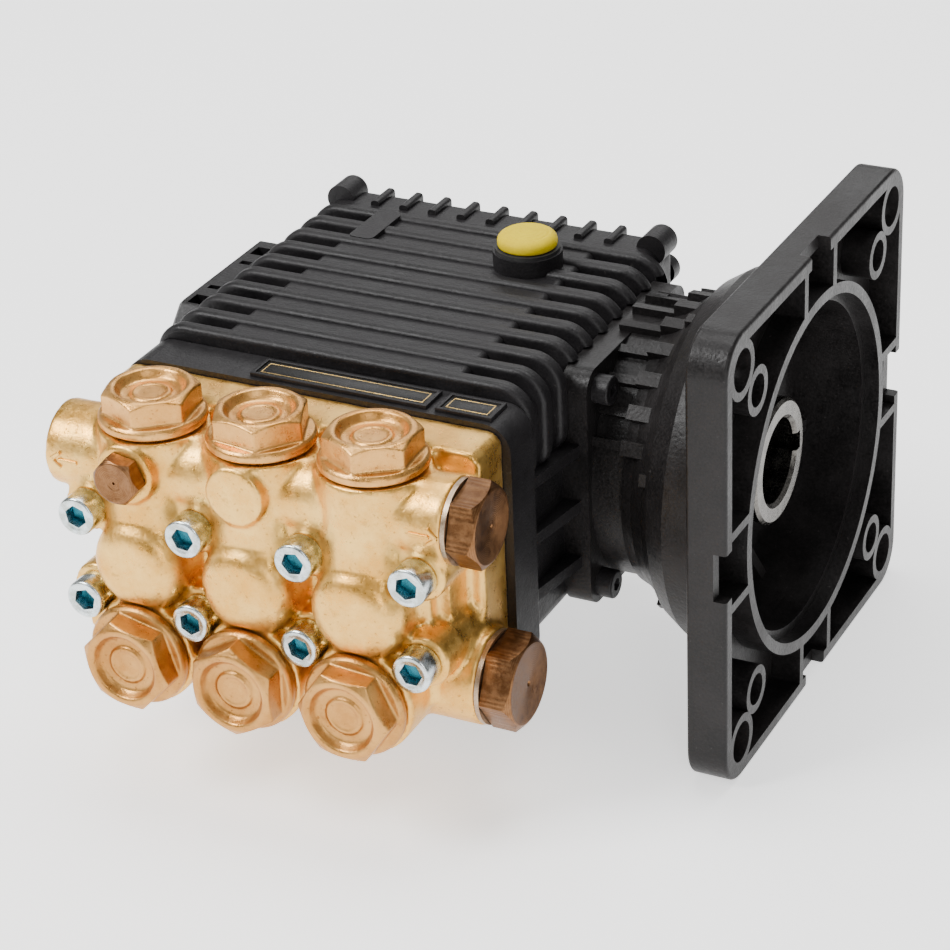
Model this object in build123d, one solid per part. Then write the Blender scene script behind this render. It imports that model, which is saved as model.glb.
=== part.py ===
from build123d import *
import math
import os

os.makedirs("parts", exist_ok=True)

# A three-plunger pressure washer pump with a hollow shaft and a motor flange.
# Millimetres. The crank turns about X. The origin is the centre of the motor flange's
# mating face, +X points into the motor, the pump head faces -Y and +Z is up.

# Overall layout
flange_to_row = 132.4        # motor face to the middle plunger
cylinder_pitch = 38.2
side_margin = 25.8           # outer plunger axis to the side of the crankcase
rod_length = 50.0            # crankpin centre to small end centre
guide_room = 42.0            # small end centre to the head joint
head_depth = 48.0            # head joint to the suction cap seats
case_top = 44.0
case_bottom = -41.0
case_back = 32.0

# Crank drive
crank_throw = 3.5
phases = (0, 120, 240)
crankpin_radius = 18.0
crankpin_width = 17.0
rod_width = 16.0
bush_radius = 9.0
pin_radius = 6.0
running_gap = 0.05
seat_gap = 0.02

# Shaft, bearings and seal
shaft_bore = 28.58
shaft_bore_depth = 62.0
key_width = 6.35
key_height = 17.6            # shaft axis to the bottom of the keyway
nose_radius = 21.0
nose_setback = 13.0          # motor face back to the end of the hollow shaft
bearing_left = {"bore": 12.5, "outer": 26.0, "width": 15.0}
bearing_right = {"bore": 22.5, "outer": 34.0, "width": 12.0}
bearing_wall = 3.5           # side cover spigot outside the left bearing
spigot_radius = 29.5         # motor housing spigot in the crankcase wall
spigot_length = 6.0
seal_outer = 31.0
seal_width = 8.0

# Motor flange
flange_side = 155.4
flange_corner = 13.0
flange_thickness = 13.4
flange_rim = 4.5
pocket_depth = 10.0
inner_bolt_circle = 149.2
inner_bolt_hole = 10.5
outer_bolt_circle = 184.15
outer_bolt_hole = 13.5
pilot_diameter = 114.3
pilot_depth = 5.0
pilot_wall = 3.8
bell_depth = 37.4
bell_radius = 54.0
bell_wall = 8.0
neck_radius = 45.0

# Plungers, packings and head
guide_radius = 17.0
plunger_radius = 9.0
stem_radius = 7.0
bolt_radius = 4.0
packing_radius = 14.0
head_margin = 8.7            # outer screw axes to the sides of the head
valve_bore = 12.0
cap_rim = 5.0                # cap collar outside the valve bore
valve_lift = 2.0
discharge_y = 30.0           # head joint to the discharge valve axes
suction_z = -29.5
discharge_seat_z = 18.0
discharge_gallery_z = 29.7
head_top = 43.0
screw_z = 14.8
screw_radius = 4.0
screw_boss_radius = 8.6
cap_hex = 27.0
frame_depth = 17.0

# Levels worked out from the values above
row_x = -flange_to_row
plunger_x = [row_x + cylinder_pitch * step for step in (-1, 0, 1)]
screw_x = [row_x + cylinder_pitch * step for step in (-1.5, -0.5, 0.5, 1.5)]
case_half = cylinder_pitch + side_margin
head_half_width = 1.5 * cylinder_pitch + head_margin
cap_radius = valve_bore + cap_rim
case_left = row_x - case_half
case_right = row_x + case_half
bearing_left_x = (case_left - 2.5, case_left - 2.5 + bearing_left["width"])
bearing_right_x = (case_right + 4.0, case_right + 4.0 + bearing_right["width"])
seal_x = (bearing_right_x[1] + 8.0, bearing_right_x[1] + 8.0 + seal_width)
hub_end = seal_x[1] + 3.0
bell_floor = -bell_depth
head_joint = -(rod_length + guide_room)
valve_y = head_joint - discharge_y
cap_seat_y = head_joint - head_depth
small_end_radius = bush_radius + 2.2
core_radius = crankpin_radius - crank_throw - 0.5
journal_radius = pin_radius - crank_throw / 2 - running_gap
guide_back = -(rod_length - 14.0)
guide_front = -(rod_length + small_end_radius + 7.5)
guide_bore_end = guide_front - crank_throw - 1.5
seal_seat = guide_bore_end - 5.0
stem_end = -(rod_length + guide_room + 0.5)
sleeve_end = stem_end - 36.5
plunger_tip = sleeve_end - 3.5
chamber_end = plunger_tip - crank_throw - 2.0
chamber_half = case_half - 14.0
big_end_radius = crankpin_radius + 5.5


def span(low, high):
    """Length and middle of a stretch given by its two ends."""
    return high - low, (high + low) / 2


def block(xs, ys, zs):
    """Box given by its ends along X, Y and Z."""
    (dx, x), (dy, y), (dz, z) = span(*xs), span(*ys), span(*zs)
    return Pos(x, y, z) * Box(dx, dy, dz)


def rod_x(radius, xs, y=0.0, z=0.0):
    length, x = span(*xs)
    return Pos(x, y, z) * Rot(0, 90, 0) * Cylinder(radius, length)


def rod_y(radius, ys, x, z=0.0):
    length, y = span(*ys)
    return Pos(x, y, z) * Rot(90, 0, 0) * Cylinder(radius, length)


def rod_z(radius, zs, x, y):
    length, z = span(*zs)
    return Pos(x, y, z) * Cylinder(radius, length)


def ring_x(outer, inner, xs, y=0.0, z=0.0):
    return rod_x(outer, xs, y, z) - rod_x(inner, xs, y, z)


def ring_y(outer, inner, ys, x, z=0.0):
    return rod_y(outer, ys, x, z) - rod_y(inner, ys, x, z)


def ring_z(outer, inner, zs, x, y):
    return rod_z(outer, zs, x, y) - rod_z(inner, zs, x, y)


def rounded(solid, axis, radius):
    """Box with its four edges along one axis rounded."""
    return fillet(solid.edges().filter_by(axis), radius)


def hexagon(across_flats, height, turn=0.0):
    """Chamfered hexagon standing on z = 0."""
    prism = extrude(RegularPolygon(across_flats / math.sqrt(3), 6), height)
    top = across_flats * 0.49
    crown = Pos(0, 0, height / 2) * Cone(top + height * math.sqrt(3), top, height)
    return Rot(0, 0, turn) * (prism & crown)


def facing_front(solid, x, y, z):
    """Stand a solid made along +Z so that it points to -Y."""
    return Pos(x, y, z) * Rot(90, 0, 0) * solid


def facing_right(solid, x, y, z):
    return Pos(x, y, z) * Rot(0, 90, 0) * solid


def facing_left(solid, x, y, z):
    return Pos(x, y, z) * Rot(0, -90, 0) * solid


def crank_offset(phase, radius):
    return radius * math.cos(math.radians(phase)), radius * math.sin(math.radians(phase))


def save(name, *solids):
    shape = solids[0] if len(solids) == 1 else Compound(children=list(solids))
    shape.label = name
    export_step(shape, "parts/" + name + ".step")


# ---------------------------------------------------------------- crankcase
rib_count = 10
rib_pitch = 11.43
rib_first = head_joint + 19.5
rib_width = 5.4
rib_crest = case_top + 6.6
cap_place = (row_x + 25.5, 11.5)
cap_boss_radius = 11.6
cap_boss_top = case_top + 11.0
cap_hole = 7.0


def cooling_rib(y):
    """Rib across the top that bends down over both sides."""
    outline = RectangleRounded(2 * case_half + 5.0, 36.0, 11.0)
    rib = extrude(Plane.XZ * outline, rib_width / 2, both=True)
    rib = fillet(rib.edges().filter_by(GeomType.LINE, reverse=True) + rib.edges().filter_by(Axis.X), 1.9)
    return Pos(row_x + 0.5, y, rib_crest - 18.0) * rib


def make_crankcase():
    body = block((case_left, case_right), (head_joint + 1, case_back), (case_bottom, case_top))
    body = rounded(body, Axis.Y, 6.0)
    frame = block(
        (case_left - 3, case_right + 4.5), (head_joint, head_joint + frame_depth), (-44.0, case_top + 2.0)
    )
    body += fillet(rounded(frame, Axis.Y, 9.0).edges().group_by(Axis.Y)[-1], 1.5)
    rib_y = [rib_first + rib_pitch * step for step in range(rib_count)]
    for y in rib_y:
        body += cooling_rib(y)
    for y in rib_y[:-1]:
        shelf = block(
            (case_left + 21, case_right - 22), (y, y + rib_pitch), (case_top - 4, rib_crest - 1.5)
        )
        body += rounded(shelf, Axis.Y, 2.5)
    bridge_y = rib_y[-3]
    pad = block((row_x - 40, row_x - 31), (bridge_y, rib_y[-1]), (case_top - 2, rib_crest + 0.2))
    body += rounded(pad, Axis.Z, 2.0)
    body += rod_z(cap_boss_radius, (case_top - 3, cap_boss_top), *cap_place)
    body &= block((case_left - 40, case_right + 40), (head_joint, case_back), (-80, 80))
    seat = block((case_left - 40, case_left), (-62.0, case_back + 20), (-80, case_top + 0.3))
    body -= seat
    seat = block((case_right, case_right + 40), housing_base_y, (-80, case_top + 0.3))
    body -= seat
    front_of_housing = block((case_left, case_right + 40), (head_joint, housing_base_y[0]), (-80, 80))
    for z in (-25.0, -5.0, 15.0):
        gusset = Polyline((0, 0), (0, 52), (10.5, 52), (2.5, 0), close=True)
        web = extrude(make_face(gusset), 4.0)
        body += Pos(case_right - 1.0, head_joint + frame_depth - 2, z) * web & front_of_housing
    chamber = block(
        (row_x - chamber_half, row_x + chamber_half), (-33.0, case_back + 1), (-35.0, case_top - 5.0)
    )
    body -= rounded(chamber, Axis.X, 6.0)
    body -= rod_x(bearing_left["outer"] + bearing_wall + seat_gap, (case_left - 10, case_left + 20))
    body -= rod_x(spigot_radius + seat_gap, (case_right - 20, case_right + 10))
    for x in plunger_x:
        body -= rod_y(guide_radius + running_gap, (guide_bore_end, -30.0), x)
        body -= rod_y(stem_radius + 2.0, (head_joint - 1, guide_bore_end + 1), x)
        body -= rod_y(packing_radius + seat_gap, (head_joint - 1, seal_seat), x)
    for x in screw_x:
        for z in (-screw_z, screw_z):
            body -= rod_y(screw_radius + seat_gap, (head_joint - 1, head_joint + 18.5), x, z)
    body -= rod_z(cap_hole, (case_top - 8, cap_boss_top + 1), *cap_place)
    for x, z in cover_screw_places:
        body -= rod_y(cover_screw_radius + seat_gap, (case_back - cover_screw_grip, case_back + 1), x, z)
    for y, z in side_screw_places:
        body -= rod_x(cover_screw_radius + seat_gap, (case_left - 1, case_left + 10.5), y, z)
    for y, z in flange_screw_places:
        body -= rod_x(cover_screw_radius + seat_gap, (case_right - 12.5, case_right + 6), y, z)
    return body


# ---------------------------------------------------------------- covers and their screws
cover_screw_radius = 3.0
gasket_thickness = 0.8
cover_depth = 14.0
cover_back = case_back + gasket_thickness + cover_depth
side_cover_thickness = 11.0
cover_screw_grip = 6.0
lump_radius = 5.2            # round cast lumps at the rear cover's upper corners
cover_screw_places = [
    (row_x + side * (case_half - 6.0), z) for side in (-1, 1) for z in (case_bottom + 6.5, case_top - 7.0)
]
side_screw_places = [(-29.0, 25.0), (24.5, 25.0), (24.5, -26.0), (-29.0, -26.0)]
housing_base_y = (-47.0, case_back - 0.5)
housing_base_z = (case_bottom + 0.5, case_top - 0.5)
housing_base_depth = 9.0
flange_screw_places = [
    (y, z)
    for y in (housing_base_y[0] + 8.0, housing_base_y[1] - 9.5)
    for z in (housing_base_z[0] + 6.5, housing_base_z[1] - 7.5)
]


def make_rear_cover():
    front = case_back + gasket_thickness
    sides = (case_left + 1.5, case_right - 1.5)
    cover = block(sides, (front, cover_back), (case_bottom + 2, case_top + 6.0))
    cover = rounded(cover, Axis.Y, 7.0)
    cover = fillet(cover.edges().group_by(Axis.Y)[-1], 3.5)
    for x in (case_left + 6.0, case_right - 5.0):
        lump = rod_y(lump_radius, (front + 3.0, cover_back + 0.8), x, case_top + 5.6)
        cover += fillet(lump.edges().group_by(Axis.Y)[-1], 1.6)
    nub_count = 9
    for step in range(nub_count):
        x = row_x + (step - (nub_count - 1) / 2) * 11.0
        nub = block((x - 1.6, x + 1.6), (front + 2, cover_back), (case_top, case_top + 7.8))
        cover += rounded(nub, Axis.Y, 1.2)
    sides = (case_left + 12, case_right - 12)
    inside = block(sides, (front - 1, cover_back - 4), (case_bottom + 9, case_top - 9))
    cover -= rounded(inside, Axis.Y, 5.0)
    for x, z in cover_screw_places:
        cover -= rod_y(cover_screw_radius + 0.3, (front - 1, cover_back + 2), x, z)
    cover -= rod_y(sight_radius + seat_gap, (front - 1, cover_back + 1), row_x, 0)
    cover -= rod_y(drain_radius + seat_gap, (front - 1, cover_back + 1), row_x - 35, -22.0)
    return cover


def make_rear_gasket():
    front = case_back
    back = case_back + gasket_thickness
    sheet = block((case_left + 1.5, case_right - 1.5), (front, back), (case_bottom + 2, case_top))
    sheet = rounded(sheet, Axis.Y, 7.0)
    sides = (case_left + 13, case_right - 13)
    window = block(sides, (front - 1, back + 1), (case_bottom + 10.5, case_top - 10))
    sheet -= rounded(window, Axis.Y, 5.0)
    for x, z in cover_screw_places:
        sheet -= rod_y(cover_screw_radius + 0.3, (front - 1, back + 1), x, z)
    return sheet


def make_side_cover():
    outer = case_left - side_cover_thickness
    corners = [(-60, 30), (-46, 44), (6, 44), (30, 28), (35, 12)]
    corners += [(35, -14), (24, -34), (-46, -36), (-60, -24)]
    corners = [(y, z * case_top / 44.0) for y, z in corners]
    plate = extrude(Plane.YZ * make_face(Polyline(*corners, close=True)), side_cover_thickness)
    plate = fillet(plate.edges().filter_by(Axis.X), 3.0)
    plate = Pos(outer, 0, 0) * plate
    plate = chamfer(plate.edges().group_by(Axis.X)[0], 1.5)
    plate += rod_x(bearing_left["outer"] + bearing_wall, (case_left - 2, case_left + 12.0))
    plate -= rod_x(bearing_left["outer"] + seat_gap, (bearing_left_x[0], case_left + 13.0))
    plate -= rod_x(bearing_left["bore"] + 7.0, (case_left - 7.0, case_left + 1.0))
    slots = ((-43.0, 6.0, 5.0), (-33.0, 2.6, 4.0), (-12.0, 2.6, 4.0), (-2.0, 6.0, 5.0))
    for y, along, across in slots:
        x = case_left - side_cover_thickness / 2 + 0.5
        plate -= block(
            (x - across / 2, x + across / 2), (y - along / 2, y + along / 2), (case_top - 4.0, case_top + 5)
        )
    for y, z in side_screw_places:
        plate -= rod_x(cover_screw_radius + 0.3, (outer - 1, case_left + 1), y, z)
    return plate


def cap_screw(shank_radius, shank, head_radius, head, socket):
    """Socket head screw along +Z with its head on z = 0 and its shank below."""
    top = fillet(Cylinder(head_radius, head).edges().group_by(Axis.Z)[-1], head_radius * 0.14)
    screw = Pos(0, 0, head / 2) * top + Pos(0, 0, -shank / 2 + 0.1) * Cylinder(shank_radius, shank + 0.2)
    hole = extrude(RegularPolygon(socket / math.sqrt(3), 6), head)
    return screw - Pos(0, 0, head * 0.4) * hole


def make_cover_screws():
    screws = []
    for x, z in cover_screw_places:
        shank = cover_back - case_back + cover_screw_grip - 0.6
        screw = cap_screw(cover_screw_radius, shank, 4.8, 5.5, 4.0)
        screws.append(Pos(x, cover_back, z) * Rot(-90, 0, 0) * screw)
    for y, z in side_screw_places:
        screw = cap_screw(cover_screw_radius, 20.0, 4.8, 5.5, 4.0)
        screws.append(facing_left(screw, case_left - side_cover_thickness, y, z))
    return screws


# ---------------------------------------------------------------- oil fittings
sight_radius = 12.0
drain_radius = 6.0


def make_oil_cap():
    x, y = cap_place
    knob = Pos(x, y, cap_boss_top + 1.2 + 2.6) * Cylinder(10.0, 5.2)
    knob = fillet(knob.edges().group_by(Axis.Z)[-1], 2.6)
    stem = rod_z(cap_hole - running_gap, (cap_boss_top - 9.0, cap_boss_top + 1.4), x, y)
    return knob + stem


def make_sight_glass():
    rim = rod_y(sight_radius, (case_back + 5.0, cover_back + 0.2), row_x)
    rim += rod_y(sight_radius + 3.0, (cover_back + 0.02, cover_back + 3.5), row_x)
    return rim


def make_drain_plug():
    plug = rod_y(drain_radius, (case_back + 6.0, cover_back + 0.2), row_x - 35, -22.0)
    head = Pos(row_x - 35, cover_back + 0.02, -22.0) * Rot(-90, 0, 0) * hexagon(17.0, 6.0)
    return plug + head


# ---------------------------------------------------------------- motor flange


def hole_pairs():
    """Direction of each corner, with the two hole circles along it."""
    return [(math.cos(math.radians(a)), math.sin(math.radians(a))) for a in (45, 135, 225, 315)]


def make_flange_plate():
    """Square motor flange: rim, corner bosses, pilot ring and lightening pockets."""
    plate = Plane.YZ * RectangleRounded(flange_side, flange_side, flange_corner)
    inner_side = flange_side - 2 * flange_rim
    pocket = RectangleRounded(inner_side, inner_side, flange_corner - flange_rim)
    pocket -= Circle(pilot_diameter / 2 + pilot_wall)
    for cy, cz in hole_pairs():
        inner = inner_bolt_circle / 2
        outer = outer_bolt_circle / 2
        pocket -= Pos(cy * inner, cz * inner) * Circle(inner_bolt_hole / 2 + 2.8)
        pocket -= Pos(cy * outer, cz * outer) * Circle(outer_bolt_hole / 2 + 2.8)
    for turn in (0, 90, 180, 270):
        for side in (-12.5, 12.5):
            pocket -= Rot(0, 0, turn) * Pos(flange_side / 2 - 8, side) * Rectangle(24, 3.0)
    body = extrude(plate, -flange_thickness)
    outline = body.edges().group_by(Axis.X)[0] + body.edges().group_by(Axis.X)[-1]
    return fillet(outline, 1.2) - extrude(Plane.YZ * pocket, -pocket_depth)


def make_flange_housing():
    body = make_flange_plate()
    outer = bell_radius + bell_wall
    profile = [
        (2.0 - flange_thickness, 0),
        (2.0 - flange_thickness, outer + 2.5),
        (-flange_thickness - 6.0, outer + 0.5),
        (bell_floor + 9.0, outer - 0.5),
        (bell_floor + 2.0, outer - 5.0),
        (bell_floor - 2.0, neck_radius + 7.0),
        (bell_floor - 7.0, neck_radius + 3.5),
        (bell_floor - 11.0, neck_radius + 2.0),
        (bell_floor - 11.0, neck_radius),
        (case_right + 4.0, neck_radius),
        (case_right + 4.0, 0),
    ]
    shell = revolve(make_face(Polyline(*profile, close=True)), Axis.X)
    body += shell
    base = block((case_right, case_right + housing_base_depth), housing_base_y, housing_base_z)
    body += rounded(base, Axis.X, 7.0)
    fin_angles = [26 + 13 * step for step in range(11)]
    for angle in fin_angles:
        depth = (neck_radius - 3.0, neck_radius + 2.6)
        low = block((case_right + 5.0, bell_floor - 2.0), (-1.5, 1.5), depth)
        body += Rot(angle - 90, 0, 0) * low
        high = block((bell_floor - 11.0, bell_floor + 1.0), (-2.4, 2.4), (neck_radius, neck_radius + 6.0))
        body += Rot(angle - 90, 0, 0) * high
    body += rod_x(spigot_radius, (case_right - spigot_length, case_right + 5.0))
    body -= rod_x(pilot_diameter / 2, (-pilot_depth, 1.0))
    hollow = rod_x(bell_radius, (bell_floor, 0.0))
    hollow = fillet(hollow.edges().group_by(Axis.X)[0], 8.0)
    body -= hollow
    body += rod_x(seal_outer + 6.0, (bell_floor - 4.0, max(hub_end, bell_floor + 6.0)))
    rib = Polyline(
        (bell_floor - 2, 30),
        (bell_floor + 5.5, 34),
        (bell_floor + 14, bell_radius + 1),
        (bell_floor - 2, bell_radius + 1),
        close=True,
    )
    for turn in (15, 75, 135, 195, 255, 315):
        body += Rot(turn, 0, 0) * extrude(Plane.XZ * make_face(rib), 2.0, both=True)
    body -= rod_x(bearing_right["bore"] + 4.5, (case_right - spigot_length - 1, bearing_right_x[0] + 1))
    body -= rod_x(bearing_right["outer"] + seat_gap, bearing_right_x)
    body -= rod_x(bearing_right["bore"] + 3.0, (bearing_right_x[1] - 1, seal_x[0] + 1))
    body -= rod_x(seal_outer + seat_gap, (seal_x[0], 0.0))
    for cy, cz in hole_pairs():
        for circle, hole in ((inner_bolt_circle, inner_bolt_hole), (outer_bolt_circle, outer_bolt_hole)):
            body -= rod_x(hole / 2, (-flange_thickness - 30, 1), cy * circle / 2, cz * circle / 2)
    for turn in (0, 90, 180, 270):
        notch = block((-4.3, 1), (flange_side / 2 - 16, flange_side / 2 + 1), (-8.2, 8.2))
        body -= Rot(turn, 0, 0) * notch
    for y, z in flange_screw_places:
        body -= rod_x(cover_screw_radius + 0.3, (case_right - 1.0, case_right + 14.0), y, z)
        body -= rod_x(5.4, (case_right + housing_base_depth, case_right + 17.0), y, z)
    return body


def make_flange_screws():
    screws = []
    for y, z in flange_screw_places:
        screw = cap_screw(cover_screw_radius, 20.0, 4.8, 5.5, 4.0)
        screws.append(facing_right(screw, case_right + housing_base_depth, y, z))
    return screws


def make_shaft_seal():
    return ring_x(seal_outer, bearing_right["bore"] + running_gap, seal_x)


# ---------------------------------------------------------------- bearings
ball_share = 0.30            # ball radius as a share of the gap between bore and outside


def bearing_sizes(bearing):
    gap = bearing["outer"] - bearing["bore"]
    return (bearing["outer"] + bearing["bore"]) / 2, gap * ball_share


def bearing_rings(bearing, xs):
    middle, ball = bearing_sizes(bearing)
    length, x = span(*xs)
    groove = Pos(x, 0, 0) * Rot(0, 90, 0) * Torus(middle, ball + running_gap)
    outer = ring_x(bearing["outer"], middle + ball * 0.6, xs) - groove
    inner = ring_x(middle - ball * 0.6, bearing["bore"] + seat_gap, xs) - groove
    return outer, inner


def bearing_balls(bearing, xs, count):
    middle, ball = bearing_sizes(bearing)
    length, x = span(*xs)
    balls = []
    for step in range(count):
        y, z = crank_offset(360 / count * step, middle)
        balls.append(Pos(x, y, z) * Sphere(ball))
    return balls


def bearing_cage(bearing, xs, count):
    middle, ball = bearing_sizes(bearing)
    length, x = span(*xs)
    cage = ring_x(middle + ball * 0.35, middle - ball * 0.35, (x - ball - 1, x + ball + 1))
    for hole in bearing_balls(bearing, xs, count):
        centre = hole.center()
        cage -= Pos(*centre) * Sphere(ball + 0.1)
    return cage


# ---------------------------------------------------------------- crank drive
def make_crankshaft():
    shaft = rod_x(core_radius, (bearing_left_x[1] + 1.0, case_right - 10))
    for x, phase in zip(plunger_x, phases):
        y, z = crank_offset(phase, crank_throw)
        shaft += rod_x(crankpin_radius, (x - crankpin_width / 2, x + crankpin_width / 2), y, z)
    shaft += rod_x(15.5, (bearing_left_x[1], bearing_left_x[1] + 4.0))
    shaft += rod_x(bearing_left["bore"], (bearing_left_x[0] - 1.5, bearing_left_x[1] + 1.0))
    shaft += rod_x(bearing_right["bore"] + 3.5, (case_right - spigot_length, bearing_right_x[0]))
    shaft += rod_x(bearing_right["bore"] - 2.5, (case_right - 17.0, case_right))
    shaft += rod_x(bearing_right["bore"], (bearing_right_x[0] - 1.0, seal_x[1] + 1.0))
    nose = rod_x(nose_radius, (seal_x[1], -nose_setback))
    shaft += chamfer(nose.edges().group_by(Axis.X)[-1], 1.0)
    shaft -= rod_x(shaft_bore / 2, (-nose_setback - shaft_bore_depth, 0))
    lead = Pos(-nose_setback - 0.6, 0, 0) * Rot(0, 90, 0) * Cone(shaft_bore / 2, shaft_bore / 2 + 1.2, 1.21)
    shaft -= lead
    shaft -= block((-nose_setback - 45, 0), (0, key_height), (-key_width / 2, key_width / 2))
    return shaft


def drive_centres(index):
    """Crankpin, small end, wrist pin and guide centres of one cylinder, as (y, z)."""
    py, pz = crank_offset(phases[index], crank_throw)
    small_end = (py - rod_length, pz)
    wrist = (small_end[0] - py / 2, small_end[1] - pz / 2)
    guide = (py - rod_length, 0.0)
    return (py, pz), small_end, wrist, guide


def make_rod(index):
    x = plunger_x[index]
    pin, small_end, wrist, guide = drive_centres(index)
    xs = (x - rod_width / 2, x + rod_width / 2)
    rod = rod_x(big_end_radius, xs, *pin)
    rod += block(xs, (pin[0] - 8, pin[0] + 8), (pin[1] - 28, pin[1] + 28))
    rod += block((x - 5, x + 5), (small_end[0], pin[0]), (pin[1] - 6.5, pin[1] + 6.5))
    rod += rod_x(small_end_radius, xs, *small_end)
    rod -= rod_x(crankpin_radius + running_gap, (xs[0] - 1, xs[1] + 1), *pin)
    rod -= rod_x(bush_radius + running_gap, (xs[0] - 1, xs[1] + 1), *small_end)
    front = block((xs[0] - 1, xs[1] + 1), (small_end[0] - 40, pin[0]), (-60, 60))
    back = block((xs[0] - 1, xs[1] + 1), (pin[0] + 0.02, pin[0] + 60), (-60, 60))
    half, cap = rod & front, rod & back
    bolts = []
    for side in (-1, 1):
        z = pin[1] + side * 24.0
        half -= rod_y(2.5 + seat_gap, (pin[0] - 9, pin[0] + 1), x, z)
        cap -= rod_y(2.5 + seat_gap, (pin[0] - 1, pin[0] + 9), x, z)
        bolt = rod_y(2.5, (pin[0] - 8, pin[0] + 8.2), x, z)
        head = Pos(x, pin[0] + 8.02, z) * Rot(-90, 0, 0) * hexagon(7.5, 3.4)
        bolts.append(bolt + head)
    return half, cap, bolts


def make_bush(index):
    x = plunger_x[index]
    pin, small_end, wrist, guide = drive_centres(index)
    xs = (x - rod_width / 2 + 0.1, x + rod_width / 2 - 0.1)
    return rod_x(bush_radius, xs, *small_end) - rod_x(pin_radius + running_gap, xs, *wrist)


def make_wrist_pin(index):
    x = plunger_x[index]
    pin, small_end, wrist, guide = drive_centres(index)
    middle = rod_x(pin_radius, (x - rod_width / 2, x + rod_width / 2), *wrist)
    return middle + rod_x(journal_radius, (x - guide_radius + 1.2, x + guide_radius - 1.2), *guide)


def make_guide(index):
    x = plunger_x[index]
    y = drive_centres(index)[3][0]
    shift = y + rod_length
    guide = rod_y(guide_radius, (guide_front + shift, guide_back + shift), x)
    slot_end = -(rod_length + small_end_radius + 1.0) + shift
    slot_half = rod_width / 2 + 0.4
    guide -= block((x - slot_half, x + slot_half), (slot_end, guide_back + 20), (-30, 30))
    guide -= rod_x(journal_radius + running_gap, (x - 40, x + 40), y, 0)
    guide += rod_y(stem_radius, (stem_end + shift, guide_front + shift + 1), x)
    guide -= rod_y(bolt_radius - 1.0 + seat_gap, (stem_end + shift - 1, stem_end + shift + 14), x)
    return guide


def make_plunger(index):
    x = plunger_x[index]
    shift = drive_centres(index)[3][0] + rod_length
    back, front, tip = stem_end + shift, sleeve_end + shift, plunger_tip + shift
    sleeve = ring_y(plunger_radius, bolt_radius + seat_gap, (front, back), x)
    sleeve = chamfer(sleeve.edges().group_by(Axis.Y)[0], 0.4)
    bolt = rod_y(bolt_radius, (front - 0.5, back), x)
    bolt += rod_y(bolt_radius - 1.0, (back - 0.5, back + 13), x)
    bolt += rod_y(plunger_radius - 0.8, (tip, front), x)
    return sleeve, bolt


# ---------------------------------------------------------------- packings
packing_levels = {
    "packing_retainers": [(0.0, 8.0)],
    "plunger_packings": [(8.0, 13.0), (19.0, 24.0)],
    "head_rings": [(13.0, 19.0), (24.0, 26.0)],
}


def packing_set(levels, gap):
    rings = []
    for x in plunger_x:
        for start, end in levels:
            ys = (head_joint - end + seat_gap, head_joint - start)
            rings.append(ring_y(packing_radius, plunger_radius + gap, ys, x))
    return rings


# ---------------------------------------------------------------- pump head
flange_face = head_joint - 16.5
core_front = head_joint - 29.0
screw_seat = head_joint - 41.7
suction_gallery_y = head_joint - 19.0
suction_seat_y = head_joint - 26.0
port_left_x = row_x - head_half_width - 5.0
discharge_port_radius = 7.6
suction_port_radius = 9.3
gauge_z = discharge_seat_z + 15.1
gauge_face = valve_y - cap_radius - 2.3


def make_manifold():
    left, right = row_x - head_half_width, row_x + head_half_width
    body = rounded(block((left, right), (flange_face, head_joint), (-43.0, 44.5)), Axis.Y, 5.0)
    body += block((left + 5, right - 5), (core_front, head_joint - 2), (-40.0, 34.0))
    body += block((left + 9, right - 9), (core_front - 6, core_front + 2), (-34.0, 26.0))
    for x in plunger_x:
        body += rod_z(cap_radius + 0.6, (-4.0, head_top), x, valve_y)
        barrel = rod_y(15.7, (chamber_end - 5.0, core_front + 4), x)
        body += fillet(barrel.edges().group_by(Axis.Y)[0], 7.3)
        body += rod_y(cap_radius + 1.0, (cap_seat_y, core_front + 4), x, suction_z)
    for x in screw_x:
        for z in (-screw_z, screw_z):
            body += rod_y(screw_boss_radius, (screw_seat, flange_face + 2), x, z)
    body += rod_x(13.6, (port_left_x, right), valve_y, discharge_gallery_z)
    body += rod_x(15.5, (left - 1.0, right + 4.0), suction_gallery_y, suction_z)
    for x in plunger_x[:2]:
        body += rod_y(9.8, (gauge_face, valve_y), x, gauge_z)
    for x in plunger_x:
        body -= rod_z(cap_radius + 0.9, (head_top, head_top + 10), x, valve_y)
        body -= rod_y(cap_radius + 0.9, (cap_seat_y - 10, cap_seat_y), x, suction_z)
    for x in screw_x:
        for z in (-screw_z, screw_z):
            body -= rod_y(7.0, (screw_seat - 12, screw_seat), x, z)
    return body - head_cavities()


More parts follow.
